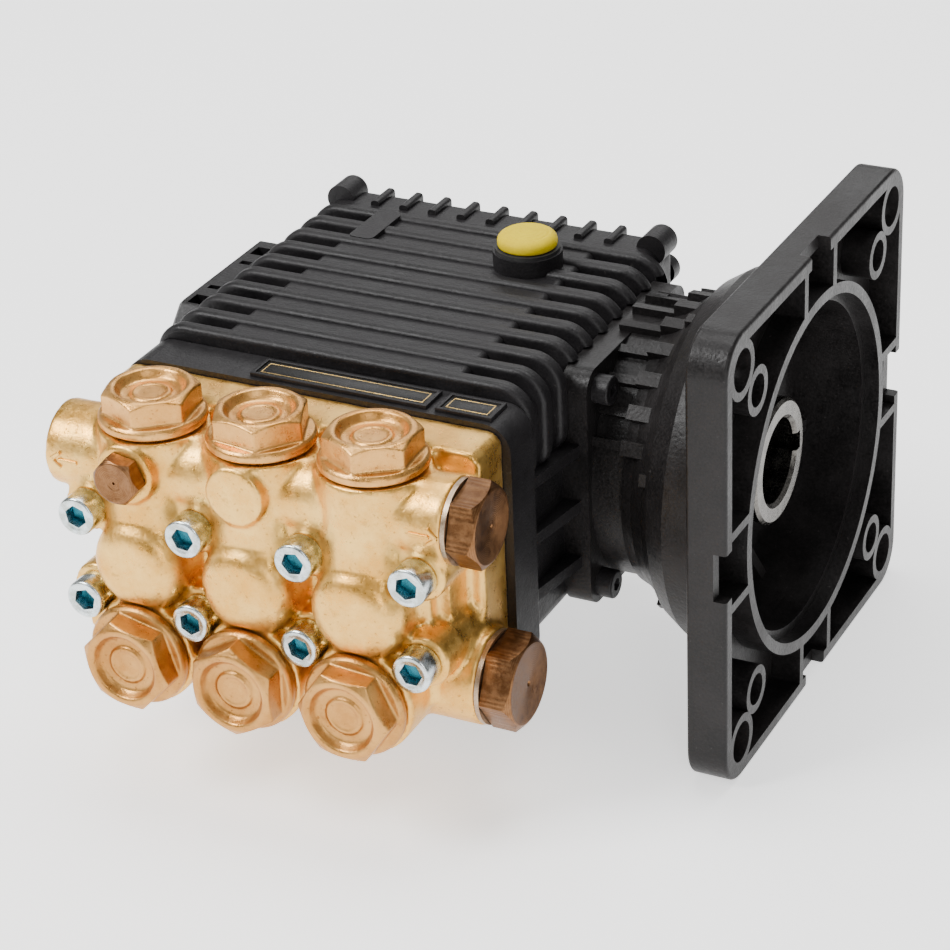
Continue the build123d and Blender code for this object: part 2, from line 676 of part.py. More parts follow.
def head_cavities():
    left, right = row_x - head_half_width, row_x + head_half_width
    cavity = []
    for x in plunger_x:
        cavity.append(rod_y(packing_radius + seat_gap, (head_joint - 26.0, head_joint + 1), x))
        cavity.append(rod_y(plunger_radius + 1.5, (chamber_end, head_joint - 20), x))
        cavity.append(rod_z(valve_bore + seat_gap, (discharge_seat_z, head_top + 1), x, valve_y))
        cavity.append(rod_z(6.0, (0, discharge_seat_z + 1), x, valve_y))
        cavity.append(rod_y(valve_bore + seat_gap, (cap_seat_y - 1, suction_seat_y), x, suction_z))
        cavity.append(rod_z(5.0, (suction_z + 5, 0), x, head_joint - 38.5))
    for x in screw_x:
        for z in (-screw_z, screw_z):
            cavity.append(rod_y(screw_radius + 0.4, (screw_seat - 1, head_joint + 1), x, z))
    discharge_axis = (valve_y, discharge_gallery_z)
    for radius, xs in (
        (7.0, (port_left_x + 11, right - 8)),
        (discharge_port_radius, (port_left_x - 1, port_left_x + 12)),
        (discharge_port_radius, (right - 12, right + 1)),
    ):
        cavity.append(rod_x(radius, xs, *discharge_axis))
    suction_axis = (suction_gallery_y, suction_z)
    for radius, xs in (
        (8.0, (left + 10, right - 8)),
        (suction_port_radius, (left - 2, left + 14)),
        (suction_port_radius, (right - 10, right + 5)),
    ):
        cavity.append(rod_x(radius, xs, *suction_axis))
    cavity.append(rod_y(5.0, (gauge_face - 1, valve_y), plunger_x[0], gauge_z))
    return cavity


def make_head_screws():
    screws = []
    for x in screw_x:
        for z in (-screw_z, screw_z):
            screw = cap_screw(screw_radius, screw_seat * -1 + head_joint + 18.0, 6.4, 8.0, 6.0)
            screws.append(facing_front(screw, x, screw_seat, z))
    return screws


def valve_seat():
    """Seat ring on z = 0, opening to +Z."""
    seat = Pos(0, 0, 2.5) * Cylinder(valve_bore, 5.0) - Pos(0, 0, 2.5) * Cylinder(6.0, 5.0)
    return chamfer(seat.edges().group_by(Axis.Z)[-1], 0.6)


def valve_plate():
    plate = Pos(0, 0, 5.8) * Cylinder(8.0, 1.6)
    return plate + Pos(0, 0, 6.9) * Cylinder(3.2, 1.0)


def valve_spring():
    wire = 0.45
    path = Helix(pitch=1.5, height=6.0, radius=4.3)
    coil = sweep(Plane(path @ 0, z_dir=path % 0) * Circle(wire), path=path)
    return Pos(0, 0, 7.2) * coil


def valve_cage():
    cage = Pos(0, 0, 9.5) * (Cylinder(valve_bore - 0.5, 9.0) - Cylinder(8.5, 9.0))
    cage += Pos(0, 0, 14.7) * Cylinder(valve_bore - 0.5, 1.4)
    for turn in (0, 90):
        cage -= Rot(0, 0, turn) * Pos(0, 0, 9.0) * Box(8.0, 40.0, 7.0)
    return cage - Pos(0, 0, 14.7) * Cylinder(3.0, 3.0)


def valve_places():
    """Places of the three discharge and three suction valves, each pointing along +Z."""
    places = [Pos(x, valve_y, discharge_seat_z + seat_gap) for x in plunger_x]
    places += [Pos(x, suction_seat_y - seat_gap, suction_z) * Rot(90, 0, 0) for x in plunger_x]
    return places


def cap_places():
    places = [Pos(x, valve_y, head_top) for x in plunger_x]
    places += [Pos(x, cap_seat_y, suction_z) * Rot(90, 0, 0) for x in plunger_x]
    return places


cap_turns = (8, 22, 4, 17, 0, 26)
cap_seal = 0.5


def valve_cap(turn):
    """Screwed valve cap along +Z: thread below z = 0, collar, hexagon and dished crown."""
    cap = Pos(0, 0, cap_seal + 1.9) * Cylinder(cap_radius, 3.8)
    cap = fillet(cap.edges().group_by(Axis.Z)[-1], 1.2)
    cap += Pos(0, 0, cap_seal + 3.6) * hexagon(cap_hex, 7.9, turn)
    crown = Pos(0, 0, cap_seal + 11.3) * Cylinder(12.6, 0.9)
    cap += fillet(crown.edges().group_by(Axis.Z)[-1], 0.4)
    cap -= Pos(0, 0, cap_seal + 10.6) * Cone(10.2, 11.6, 2.4)
    cap += Pos(0, 0, cap_seal + 9.6) * Cylinder(5.4, 1.1)
    return cap + Pos(0, 0, -2.4) * Cylinder(valve_bore, 7.4)


def port_plug(thread_radius, across_flats, height, turn, thread=10.0):
    """Hexagon plug along +Z with its washer gap below z = 0."""
    plug = hexagon(across_flats, height, turn)
    plug -= Pos(0, 0, height - 0.4) * Cylinder(across_flats * 0.2, 1.0)
    return plug + Pos(0, 0, 0.1 - thread / 2) * Cylinder(thread_radius, thread + 0.2)


washer_thickness = 1.5


def port_washer(outer, inner):
    ring = Cylinder(outer, washer_thickness) - Cylinder(inner, washer_thickness)
    return Pos(0, 0, -washer_thickness / 2) * ring


def make_name_plates():
    top = case_top + 2.0
    ys = (head_joint + 3.2, head_joint + 12.0)
    long_plate = block((row_x - 21, row_x + 38), ys, (top + 0.02, top + 0.9))
    small_plate = block((row_x + 43.5, row_x + 60), ys, (top + 0.02, top + 0.9))
    return [rounded(long_plate, Axis.Z, 0.8), rounded(small_plate, Axis.Z, 0.8)]


# ---------------------------------------------------------------- build every piece
save("crankcase", make_crankcase())
save("rear_cover", make_rear_cover())
save("rear_cover_gasket", make_rear_gasket())
save("side_cover", make_side_cover())
save("cover_screws", *make_cover_screws())
save("flange_housing", make_flange_housing())
save("flange_screws", *make_flange_screws())
save("shaft_seal", make_shaft_seal())
save("oil_cap", make_oil_cap())
save("oil_cap_seal", ring_z(10.8, cap_hole + 0.3, (cap_boss_top, cap_boss_top + 1.18), *cap_place))
save("sight_glass", make_sight_glass())
save("drain_plug", make_drain_plug())

left_outer, left_inner = bearing_rings(bearing_left, bearing_left_x)
right_outer, right_inner = bearing_rings(bearing_right, bearing_right_x)
save("bearing_outer_rings", left_outer, right_outer)
save("bearing_inner_rings", left_inner, right_inner)
left_set = (bearing_left, bearing_left_x, 10)
right_set = (bearing_right, bearing_right_x, 12)
save("bearing_balls", *bearing_balls(*left_set), *bearing_balls(*right_set))
save("bearing_cages", bearing_cage(*left_set), bearing_cage(*right_set))
save("crankshaft", make_crankshaft())

for index in range(3):
    number = str(index + 1)
    rod_half, rod_cap, rod_bolts = make_rod(index)
    sleeve, bolt = make_plunger(index)
    save("con_rod_" + number, rod_half)
    save("con_rod_cap_" + number, rod_cap, *rod_bolts)
    save("small_end_bush_" + number, make_bush(index))
    save("wrist_pin_" + number, make_wrist_pin(index))
    save("plunger_guide_" + number, make_guide(index))
    save("plunger_sleeve_" + number, sleeve)
    save("plunger_bolt_" + number, bolt)

seal_ys = (seal_seat - 7.0, seal_seat)
oil_seals = [ring_y(packing_radius, stem_radius + running_gap, seal_ys, x) for x in plunger_x]
save("plunger_oil_seals", *oil_seals)
save("packing_retainers", *packing_set(packing_levels["packing_retainers"], 0.3))
save("plunger_packings", *packing_set(packing_levels["plunger_packings"], running_gap))
save("head_rings", *packing_set(packing_levels["head_rings"], 0.3))

save("manifold", make_manifold())
save("head_screws", *make_head_screws())
places = valve_places()
save("valve_seats", *[place * valve_seat() for place in places])
for index in range(3):
    save("discharge_valve_plate_" + str(index + 1), places[index] * valve_plate())
    save("suction_valve_plate_" + str(index + 1), places[index + 3] * valve_plate())
save("valve_springs", *[place * valve_spring() for place in places])
save("valve_cages", *[place * valve_cage() for place in places])
save("valve_caps", *[place * valve_cap(turn) for place, turn in zip(cap_places(), cap_turns)])
seal_ring = Cylinder(valve_bore + 2.6, cap_seal - 0.02) - Cylinder(valve_bore + 0.2, cap_seal)
save("valve_cap_seals", *[place * Pos(0, 0, cap_seal / 2) * seal_ring for place in cap_places()])

discharge_place = (row_x + head_half_width + washer_thickness, valve_y, discharge_gallery_z)
suction_place = (discharge_place[0] + 4.0, suction_gallery_y, suction_z)
discharge_plug = port_plug(discharge_port_radius - seat_gap, 24.0, 9.0, 12)
suction_plug = port_plug(suction_port_radius - seat_gap, 27.0, 10.0, 5)
gauge_plug = port_plug(5.0 - seat_gap, 14.0, 5.8, 20, thread=6.5)
save("discharge_plug", facing_right(discharge_plug, *discharge_place))
save("suction_plug", facing_right(suction_plug, *suction_place))
save("gauge_plug", facing_front(gauge_plug, plunger_x[0], gauge_face - 0.02, gauge_z))
discharge_washer = port_washer(13.4, discharge_port_radius + 0.2)
suction_washer = port_washer(15.0, suction_port_radius + 0.2)
save(
    "port_washers",
    facing_right(discharge_washer, *discharge_place),
    facing_right(suction_washer, *suction_place),
)
save("name_plates", *make_name_plates())
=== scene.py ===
import bpy
import math
from mathutils import Matrix, Vector


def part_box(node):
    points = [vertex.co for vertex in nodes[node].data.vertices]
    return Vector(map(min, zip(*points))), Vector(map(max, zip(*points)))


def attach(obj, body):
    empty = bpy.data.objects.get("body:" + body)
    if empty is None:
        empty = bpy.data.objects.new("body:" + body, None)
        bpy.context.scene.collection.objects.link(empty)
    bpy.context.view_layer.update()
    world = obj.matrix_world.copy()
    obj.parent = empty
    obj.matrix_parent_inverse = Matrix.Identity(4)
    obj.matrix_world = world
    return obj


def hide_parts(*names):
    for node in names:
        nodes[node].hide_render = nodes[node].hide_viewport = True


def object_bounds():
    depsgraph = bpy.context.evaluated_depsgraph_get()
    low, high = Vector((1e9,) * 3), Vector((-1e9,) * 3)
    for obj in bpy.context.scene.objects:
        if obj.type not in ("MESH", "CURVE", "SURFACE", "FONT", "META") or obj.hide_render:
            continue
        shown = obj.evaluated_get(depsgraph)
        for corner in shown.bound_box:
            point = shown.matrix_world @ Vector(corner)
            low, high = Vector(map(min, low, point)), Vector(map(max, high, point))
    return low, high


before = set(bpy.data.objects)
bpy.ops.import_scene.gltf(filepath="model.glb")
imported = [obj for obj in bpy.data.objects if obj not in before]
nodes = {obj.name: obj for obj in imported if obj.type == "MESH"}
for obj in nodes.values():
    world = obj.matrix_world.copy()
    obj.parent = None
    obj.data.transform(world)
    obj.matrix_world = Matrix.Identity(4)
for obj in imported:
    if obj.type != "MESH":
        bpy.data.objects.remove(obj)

cadBox = [list(corner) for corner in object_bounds()]
mm = 0.001
print("frame loaded")


class Wire:              # a shader socket that takes part in sums
    def __init__(self, finish, socket):
        self.finish = finish
        self.socket = socket

    def sum(self, operation, first, second):
        return self.finish.node("ShaderNodeMath", {"operation": operation}, {0: first, 1: second})

    def __add__(self, other):
        return self.sum("ADD", self, other)

    def __rsub__(self, other):
        return self.sum("SUBTRACT", other, self)

    def __mul__(self, other):
        return self.sum("MULTIPLY", self, other)


class Finish:            # one material and the nodes that make it
    def __init__(self, name):
        self.material = bpy.data.materials.new(name)
        self.material.use_nodes = True
        self.tree = self.material.node_tree
        self.shader = self.tree.nodes["Principled BSDF"]
        self.place = self.node("ShaderNodeTexCoord", {}, {}, "Object")

    def node(self, kind, settings, inputs, output=0):
        made = self.tree.nodes.new(kind)
        for key, value in settings.items():
            setattr(made, key, value)
        for key, value in inputs.items():
            self.feed(made.inputs[key], value)
        return Wire(self, made.outputs[output])

    def feed(self, socket, value):
        if isinstance(value, Wire):
            self.tree.links.new(value.socket, socket)
        elif isinstance(value, tuple) and len(value) == 3 and socket.type == "RGBA":
            socket.default_value = (*value, 1.0)
        else:
            socket.default_value = value

    def noise(self, size, detail=3.0, rough=0.55):        # sizes in millimetres
        return self.node(
            "ShaderNodeTexNoise", {"noise_dimensions": "3D"},
            {"Vector": self.place, "Scale": 1.0 / (size * mm), "Detail": detail, "Roughness": rough},
        )

    def cells(self, size):
        scale = 1.0 / (size * mm)
        return self.node("ShaderNodeTexVoronoi", {"feature": "F1"}, {"Vector": self.place, "Scale": scale})

    def between(self, value, low, high, start=0.0, end=1.0):
        return self.node(
            "ShaderNodeMapRange", {"interpolation_type": "SMOOTHSTEP"},
            {"Value": value, "From Min": low, "From Max": high, "To Min": start, "To Max": end},
        )

    def uneven(self, value, rough, less, more):           # roughness a little below and above its middle
        return self.between(value, 0.3, 0.7, rough - less, rough + more)

    def blend(self, share, first, second):
        return self.node(
            "ShaderNodeMix", {"data_type": "RGBA", "blend_type": "MIX"}, {0: share, 6: first, 7: second}, 2
        )

    def rings(self, centre, along, pitch):    # grooves left by a lathe, round an axis through centre
        flat = [0.0 if axis == along else 1.0 for axis in range(3)]
        away = self.node("ShaderNodeVectorMath", {"operation": "SUBTRACT"}, {0: self.place, 1: tuple(centre)})
        away = self.node("ShaderNodeVectorMath", {"operation": "MULTIPLY"}, {0: away, 1: tuple(flat)})
        radius = self.node("ShaderNodeVectorMath", {"operation": "LENGTH"}, {0: away}, 1)
        return self.node("ShaderNodeMath", {"operation": "SINE"}, {0: radius * (math.tau / (pitch * mm))})

    def relief(self, layers):                 # stacked bumps, heights in millimetres
        normal = None
        for height, depth in layers:
            inputs = {"Height": height, "Distance": depth * mm, "Strength": 1.0}
            if normal:
                inputs["Normal"] = normal
            normal = self.node("ShaderNodeBump", {}, inputs)
        return normal

    def surface(self, values):
        for key, value in values.items():
            self.feed(self.shader.inputs[key], value)
        return self.material


# Finishes
blackLook = {
    "dark": (0.0055, 0.005, 0.0055), "light": (0.017, 0.0155, 0.0165),
    "rough": 0.42, "shine": 0.27, "grain": 0.55,
}
flangeLook = {
    "dark": (0.005, 0.0045, 0.0045), "light": (0.018, 0.016, 0.016),
    "rough": 0.37, "shine": 0.22, "grain": 0.8,
}
coatSkin = {
    "cloud": 22, "speckShare": 1.9, "dust": 1.9, "dustTone": (0.13, 0.12, 0.115),
    "grainDepth": 0.10, "cloudDepth": 0.6,
}
brassLook = {
    "deep": (0.36, 0.145, 0.022), "body": (0.70, 0.350, 0.062), "pale": (0.92, 0.58, 0.165),
    "rough": 0.31, "grain": 0.9,
}
capLook = {
    "deep": (0.24, 0.087, 0.016), "body": (0.56, 0.255, 0.056), "pale": (0.80, 0.44, 0.135),
    "rough": 0.30, "grain": 0.7,
}
# the cap brass again, darker throughout: painted shade for the three front caps, a shaded copy of the same
# brass
frontCapPaintedShadeLook = {
    "deep": (0.20, 0.070, 0.012), "body": (0.43, 0.188, 0.040), "pale": (0.63, 0.335, 0.098),
    "rough": 0.33, "grain": 0.7,
}
brassSkin = {"cloud": 16, "patch": 5.0, "pits": 1.3, "stain": 7.5, "grainDepth": 0.09, "patchDepth": 0.25}
bronzeLook = {
    "deep": (0.075, 0.028, 0.010), "body": (0.145, 0.063, 0.024), "pale": (0.26, 0.13, 0.058),
    "rough": 0.36,
}
latheSkin = {"wear": 3.2, "grain": 0.5, "pitch": 0.55, "stain": 5.5, "grooveDepth": 0.014, "grainDepth": 0.03}
zincLook = {
    "dark": (0.44, 0.47, 0.44), "light": (0.70, 0.76, 0.78), "socket": (0.035, 0.20, 0.26),
    "smooth": 0.17, "worn": 0.34, "wear": 3.0, "fine": 0.4, "fineDepth": 0.02,
}
turnedSkin = {"wear": 4.0, "depth": 0.03}
mouldedSkin = {"mottle": 6.0, "depth": 0.04}


def castCoat(name, look):
    finish = Finish(name)
    cloud = finish.noise(coatSkin["cloud"], 4, 0.6)
    grain = finish.noise(look["grain"], 3, 0.65)
    specks = finish.cells(look["grain"] * coatSkin["speckShare"])
    tone = finish.between(cloud * 0.55 + grain * 0.45, 0.34, 0.68)
    dust = finish.between(finish.noise(coatSkin["dust"], 5, 0.75), 0.62, 0.78, 0.0, 0.5)
    colour = finish.blend(tone, look["dark"], look["light"])
    colour = finish.blend(dust, colour, coatSkin["dustTone"])
    height = grain * 0.7 + finish.between(specks, 0.1, 0.6) * 0.3
    return finish.surface({
        "Base Color": colour,
        "Roughness": finish.uneven(cloud * 0.5 + grain * 0.5, look["rough"], 0.08, 0.14),
        "Specular IOR Level": look["shine"],
        "Normal": finish.relief([(height, coatSkin["grainDepth"]), (cloud, coatSkin["cloudDepth"])]),
    })


def castBrass(name, look):
    finish = Finish(name)
    cloud = finish.noise(brassSkin["cloud"], 5, 0.6)
    patch = finish.noise(brassSkin["patch"], 5, 0.68)
    grain = finish.noise(look["grain"], 4, 0.7)
    pits = finish.between(finish.noise(brassSkin["pits"], 3, 0.5), 0.30, 0.36)
    tone = finish.between(cloud * 0.5 + patch * 0.35 + grain * 0.15, 0.36, 0.66)
    colour = finish.blend(tone, look["body"], look["pale"])
    stain = finish.between(finish.noise(brassSkin["stain"], 6, 0.78), 0.57, 0.74, 0.0, 0.62)
    colour = finish.blend(stain, colour, look["deep"])
    colour = finish.blend((1.0 - pits) * 0.45, colour, look["deep"])
    height = grain * 0.5 + pits * 0.5
    return finish.surface({
        "Base Color": colour,
        "Metallic": 0.9,
        "Roughness": finish.uneven(patch * 0.6 + grain * 0.4, look["rough"], 0.09, 0.16),
        "Normal": finish.relief([(height, brassSkin["grainDepth"]), (patch, brassSkin["patchDepth"])]),
    })


def turnedMetal(name, dark, light, rough, grain=0.35):
    finish = Finish(name)
    wear = finish.noise(turnedSkin["wear"], 5, 0.7)
    lines = finish.noise(grain, 3, 0.6)
    tone = finish.between(wear * 0.6 + lines * 0.4, 0.34, 0.66)
    return finish.surface({
        "Base Color": finish.blend(tone, dark, light),
        "Metallic": 1.0,
        "Roughness": finish.uneven(wear * 0.5 + lines * 0.5, rough, 0.07, 0.12),
        "Normal": finish.relief([(lines, turnedSkin["depth"])]),
    })


def moulded(name, dark, light, rough, grain=0.8, coat=0.0, shine=0.5):
    finish = Finish(name)
    mottle = finish.noise(mouldedSkin["mottle"], 4, 0.6)
    skin = finish.noise(grain, 3, 0.6)
    return finish.surface({
        "Base Color": finish.blend(finish.between(mottle * 0.6 + skin * 0.4, 0.35, 0.65), dark, light),
        "Roughness": finish.uneven(mottle * 0.5 + skin * 0.5, rough, 0.06, 0.1),
        "Coat Weight": coat,
        "Specular IOR Level": shine,
        "Normal": finish.relief([(skin, mouldedSkin["depth"])]),
    })


def latheBronze(name, look, centre, along):
    finish = Finish(name)
    wear = finish.noise(latheSkin["wear"], 5, 0.7)
    grain = finish.noise(latheSkin["grain"], 3, 0.6)
    grooves = finish.rings(centre, along, latheSkin["pitch"])
    tone = finish.between(wear * 0.6 + grain * 0.2 + grooves * 0.05, 0.26, 0.56)
    colour = finish.blend(tone, look["body"], look["pale"])
    stain = finish.between(finish.noise(latheSkin["stain"], 6, 0.75), 0.52, 0.72, 0.0, 0.8)
    return finish.surface({
        "Base Color": finish.blend(stain, colour, look["deep"]),
        "Metallic": 1.0,
        "Roughness": finish.uneven(wear * 0.5 + grain * 0.5, look["rough"], 0.08, 0.14),
        "Normal": finish.relief([(grooves, latheSkin["grooveDepth"]), (grain, latheSkin["grainDepth"])]),
    })


def screwZinc(name, look):
    finish = Finish(name)
    wear = finish.noise(look["wear"], 4, 0.65)
    fine = finish.noise(look["fine"], 3, 0.6)
    depth = finish.node("ShaderNodeAttribute", {"attribute_name": "socket"}, {}, 2)
    colour = finish.blend(finish.between(wear, 0.35, 0.65), look["dark"], look["light"])
    return finish.surface({
        "Base Color": finish.blend(depth, colour, look["socket"]),
        "Metallic": 1.0,
        "Roughness": finish.between(wear * 0.5 + fine * 0.5, 0.3, 0.7, look["smooth"], look["worn"]),
        "Normal": finish.relief([(fine, look["fineDepth"])]),
    })


caseBlack = castCoat("caseBlack", blackLook)
flangeBlack = castCoat("flangeBlack", flangeLook)
headBrass = castBrass("headBrass", brassLook)
capBrass = castBrass("capBrass", capLook)
frontCapPaintedShadeBrass = castBrass("frontCapPaintedShadeBrass", frontCapPaintedShadeLook)
screwPlate = screwZinc("screwPlate", zincLook)
zincPlate = turnedMetal("zincPlate", (0.40, 0.43, 0.42), (0.78, 0.80, 0.78), 0.30)
shaftSteel = turnedMetal("shaftSteel", (0.055, 0.050, 0.045), (0.20, 0.19, 0.175), 0.24, grain=0.6)
groundSteel = turnedMetal("groundSteel", (0.42, 0.42, 0.43), (0.66, 0.66, 0.67), 0.22)
ballSteel = turnedMetal("ballSteel", (0.60, 0.60, 0.62), (0.74, 0.74, 0.76), 0.12)
cageSteel = turnedMetal("cageSteel", (0.34, 0.31, 0.22), (0.58, 0.54, 0.42), 0.34)
rodMetal = turnedMetal("rodMetal", (0.36, 0.36, 0.37), (0.58, 0.58, 0.59), 0.44, grain=0.8)
bushBronze = turnedMetal("bushBronze", (0.45, 0.27, 0.11), (0.72, 0.49, 0.24), 0.28)
washerMetal = turnedMetal("washerMetal", (0.28, 0.19, 0.12), (0.52, 0.40, 0.28), 0.34)
ceramicWhite = moulded("ceramicWhite", (0.78, 0.76, 0.70), (0.88, 0.86, 0.81), 0.16, coat=0.5)
rubberBlack = moulded("rubberBlack", (0.010, 0.010, 0.010), (0.030, 0.029, 0.028), 0.60)
gasketDark = moulded("gasketDark", (0.030, 0.028, 0.026), (0.065, 0.060, 0.055), 0.75)
packingBrown = moulded("packingBrown", (0.10, 0.050, 0.025), (0.22, 0.12, 0.07), 0.72, grain=0.5)
cagePlastic = moulded("cagePlastic", (0.020, 0.020, 0.021), (0.050, 0.049, 0.048), 0.45)
capYellow = moulded("capYellow", (0.68, 0.49, 0.0), (0.76, 0.57, 0.0), 0.55, shine=0.12)
sightClear = moulded("sightClear", (0.62, 0.55, 0.33), (0.74, 0.68, 0.46), 0.10, coat=0.6)
plateGold = turnedMetal("plateGold", (0.52, 0.33, 0.10), (0.80, 0.56, 0.22), 0.3)
plateBlack = moulded("plateBlack", (0.004, 0.004, 0.004), (0.011, 0.010, 0.009), 0.30, shine=0.16)

nodeFinish = {
    caseBlack: ["crankcase", "rear_cover", "side_cover", "flange_screws", "cover_screws"],
    flangeBlack: ["flange_housing"],
    headBrass: ["manifold", "discharge_plug", "suction_plug", "gauge_plug"],
    capBrass: ["valve_caps"],
    zincPlate: ["head_screws", "drain_plug"],
    shaftSteel: ["crankshaft"],
    groundSteel: ["bearing_outer_rings", "bearing_inner_rings", "valve_seats", "valve_springs"],
    ballSteel: ["bearing_balls"],
    cageSteel: ["bearing_cages"],
    bushBronze: ["packing_retainers", "head_rings"],
    washerMetal: ["port_washers"],
    rubberBlack: ["shaft_seal", "oil_cap_seal", "plunger_oil_seals", "valve_cap_seals"],
    gasketDark: ["rear_cover_gasket"],
    packingBrown: ["plunger_packings"],
    cagePlastic: ["valve_cages"],
    capYellow: ["oil_cap"],
    sightClear: ["sight_glass"],
    plateBlack: ["name_plates"],
}
perCylinder = {
    rodMetal: ["con_rod", "con_rod_cap"],
    bushBronze: ["small_end_bush"],
    groundSteel: [
        "wrist_pin", "plunger_guide", "plunger_bolt", "discharge_valve_plate", "suction_valve_plate",
    ],
    ceramicWhite: ["plunger_sleeve"],
}
for material, names in perCylinder.items():
    nodeFinish[material] = nodeFinish.get(material, []) + [f"{name}_{n}" for name in names for n in (1, 2, 3)]
for material, names in nodeFinish.items():
    for name in names:
        mesh = nodes[name].data
        mesh.materials.clear()
        mesh.materials.append(material)
print("materials made")


# Places read from the frame
def middleOf(node):
    low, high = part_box(node)
    return [(a + b) / 2 for a, b in zip(low, high)]


rowX = [middleOf(f"plunger_sleeve_{number}")[0] for number in (1, 2, 3)]
pitch = rowX[1] - rowX[0]
screwX = [rowX[1] + pitch * step for step in (-1.5, -0.5, 0.5, 1.5)]
dischargeY = middleOf("discharge_valve_plate_1")[1]
suctionZ = middleOf("suction_valve_plate_1")[2]
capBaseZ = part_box("valve_cap_seals")[1][2]
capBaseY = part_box("valve_cap_seals")[0][1]
faceFront = (math.radians(90), 0, 0)             # turns a piece made along +Z to point at -Y
faceRight = (0, math.radians(90), 0)             # and to point at +X


def startFresh():        # operators act on all that is selected
    bpy.ops.object.select_all(action="DESELECT")


def choose(piece):
    startFresh()
    piece.select_set(True)
    bpy.context.view_layer.objects.active = piece


def modify(piece, kind, **settings):
    choose(piece)
    bpy.ops.object.modifier_add(type=kind)
    modifier = piece.modifiers[-1]
    for key, value in settings.items():
        setattr(modifier, key, value)
    bpy.ops.object.modifier_apply(modifier=modifier.name)
    return piece


def turned(name, steps, sides=96, turn=0.0):     # a disc pulled up through (radius, height) steps
    startFresh()
    radius, height = steps[0]
    bpy.ops.mesh.primitive_circle_add(
        vertices=sides, radius=radius * mm, fill_type="NGON", location=(0, 0, height * mm),
        rotation=(0, 0, math.radians(turn)),
    )
    piece = bpy.context.object
    piece.name = name
    bpy.ops.object.transform_apply(location=True, rotation=True, scale=True)
    bpy.ops.object.mode_set(mode="EDIT")
    bpy.ops.mesh.select_all(action="SELECT")
    for (was, low), (now, high) in zip(steps, steps[1:]):
        bpy.ops.mesh.extrude_region_move(TRANSFORM_OT_translate={"value": (0, 0, (high - low) * mm)})
        bpy.ops.transform.resize(value=(now / was, now / was, 1), center_override=(0, 0, high * mm))
    bpy.ops.mesh.select_all(action="SELECT")
    bpy.ops.mesh.normals_make_consistent(inside=False)
    bpy.ops.object.mode_set(mode="OBJECT")
    return piece


def bar(name, low, high, chamfer=0.0):           # a block between two corners, its edges bevelled
    startFresh()
    bpy.ops.mesh.primitive_cube_add(size=1, location=[(a + b) / 2 for a, b in zip(low, high)])
    piece = bpy.context.object
    piece.name = name
    piece.scale = [b - a for a, b in zip(low, high)]
    bpy.ops.object.transform_apply(location=True, rotation=True, scale=True)
    if chamfer:
        bpy.ops.object.mode_set(mode="EDIT")
        bpy.ops.mesh.select_all(action="SELECT")
        bpy.ops.mesh.bevel(offset=chamfer * mm, segments=3, affect="EDGES")
        bpy.ops.object.mode_set(mode="OBJECT")
    return piece


def combine(piece, tool, operation):
    modify(piece, "BOOLEAN", operation=operation, object=tool, solver="EXACT")
    bpy.data.objects.remove(tool)
    return piece


def soften(piece, width, angle):                 # bevels every edge sharper than the angle
    limit = math.radians(angle)
    return modify(piece, "BEVEL", width=width * mm, segments=2, limit_method="ANGLE", angle_limit=limit)


def together(piece, others):                     # one mesh of overlapping shapes
    startFresh()
    for other in others:
        other.select_set(True)
    piece.select_set(True)
    bpy.context.view_layer.objects.active = piece
    bpy.ops.object.join()
    return piece


def forge(piece, voxel, rounds):                 # one skin with the soft edges of a forging
    modify(piece, "REMESH", mode="VOXEL", voxel_size=voxel * mm)
    return modify(piece, "SMOOTH", factor=0.5, iterations=rounds)


def settle(piece, place, rotation=(0, 0, 0)):
    choose(piece)
    piece.location = place
    piece.rotation_euler = rotation
    bpy.ops.object.transform_apply(location=True, rotation=True, scale=True)
    return piece


def twin(piece, name):
    choose(piece)
    bpy.ops.object.duplicate()
    copy = bpy.context.object
    copy.name = name
    return copy


def deliver(piece, material, node=None, body="pump_body", angle=35):
    choose(piece)
    bpy.ops.object.shade_smooth_by_angle(angle=math.radians(angle))
    piece.data.materials.clear()
    piece.data.materials.append(material)
    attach(piece, body)
    if node:
        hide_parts(node)
    return piece


def wholeCopy(node, name):                       # the CAD mesh is loose triangles until it is merged
    piece = bpy.data.objects.new(name, nodes[node].data.copy())
    bpy.context.scene.collection.objects.link(piece)
    choose(piece)
    bpy.ops.object.mode_set(mode="EDIT")
    bpy.ops.mesh.select_all(action="SELECT")
    bpy.ops.mesh.remove_doubles(threshold=0.002 * mm)
    bpy.ops.object.mode_set(mode="OBJECT")
    return piece


# Valve caps: collar, hexagon and a dished crown with a button in its middle
capShape = {
    "flats": 27.0, "voxel": 0.4, "softness": 2, "turns": (8, 22, 4, 17, 0, 26), "smoothAngle": 50,
    "collar": (
        (11.9, -5.0), (11.9, 0.05), (16.3, 0.1), (17.0, 0.8), (17.0, 2.6), (16.1, 3.7), (13.0, 3.9),
    ),
    "hexagon": (3.0, 12.5),
    "crown": (
        (16.4, 3.0), (16.4, 9.3), (13.7, 11.0), (13.0, 11.5), (11.7, 11.6), (11.0, 11.3), (10.3, 10.0),
        (9.6, 8.9), (8.7, 8.5), (6.6, 8.4), (6.1, 9.1), (5.5, 9.4), (4.9, 9.3), (4.4, 9.0), (1.0, 9.0),
    ),
}


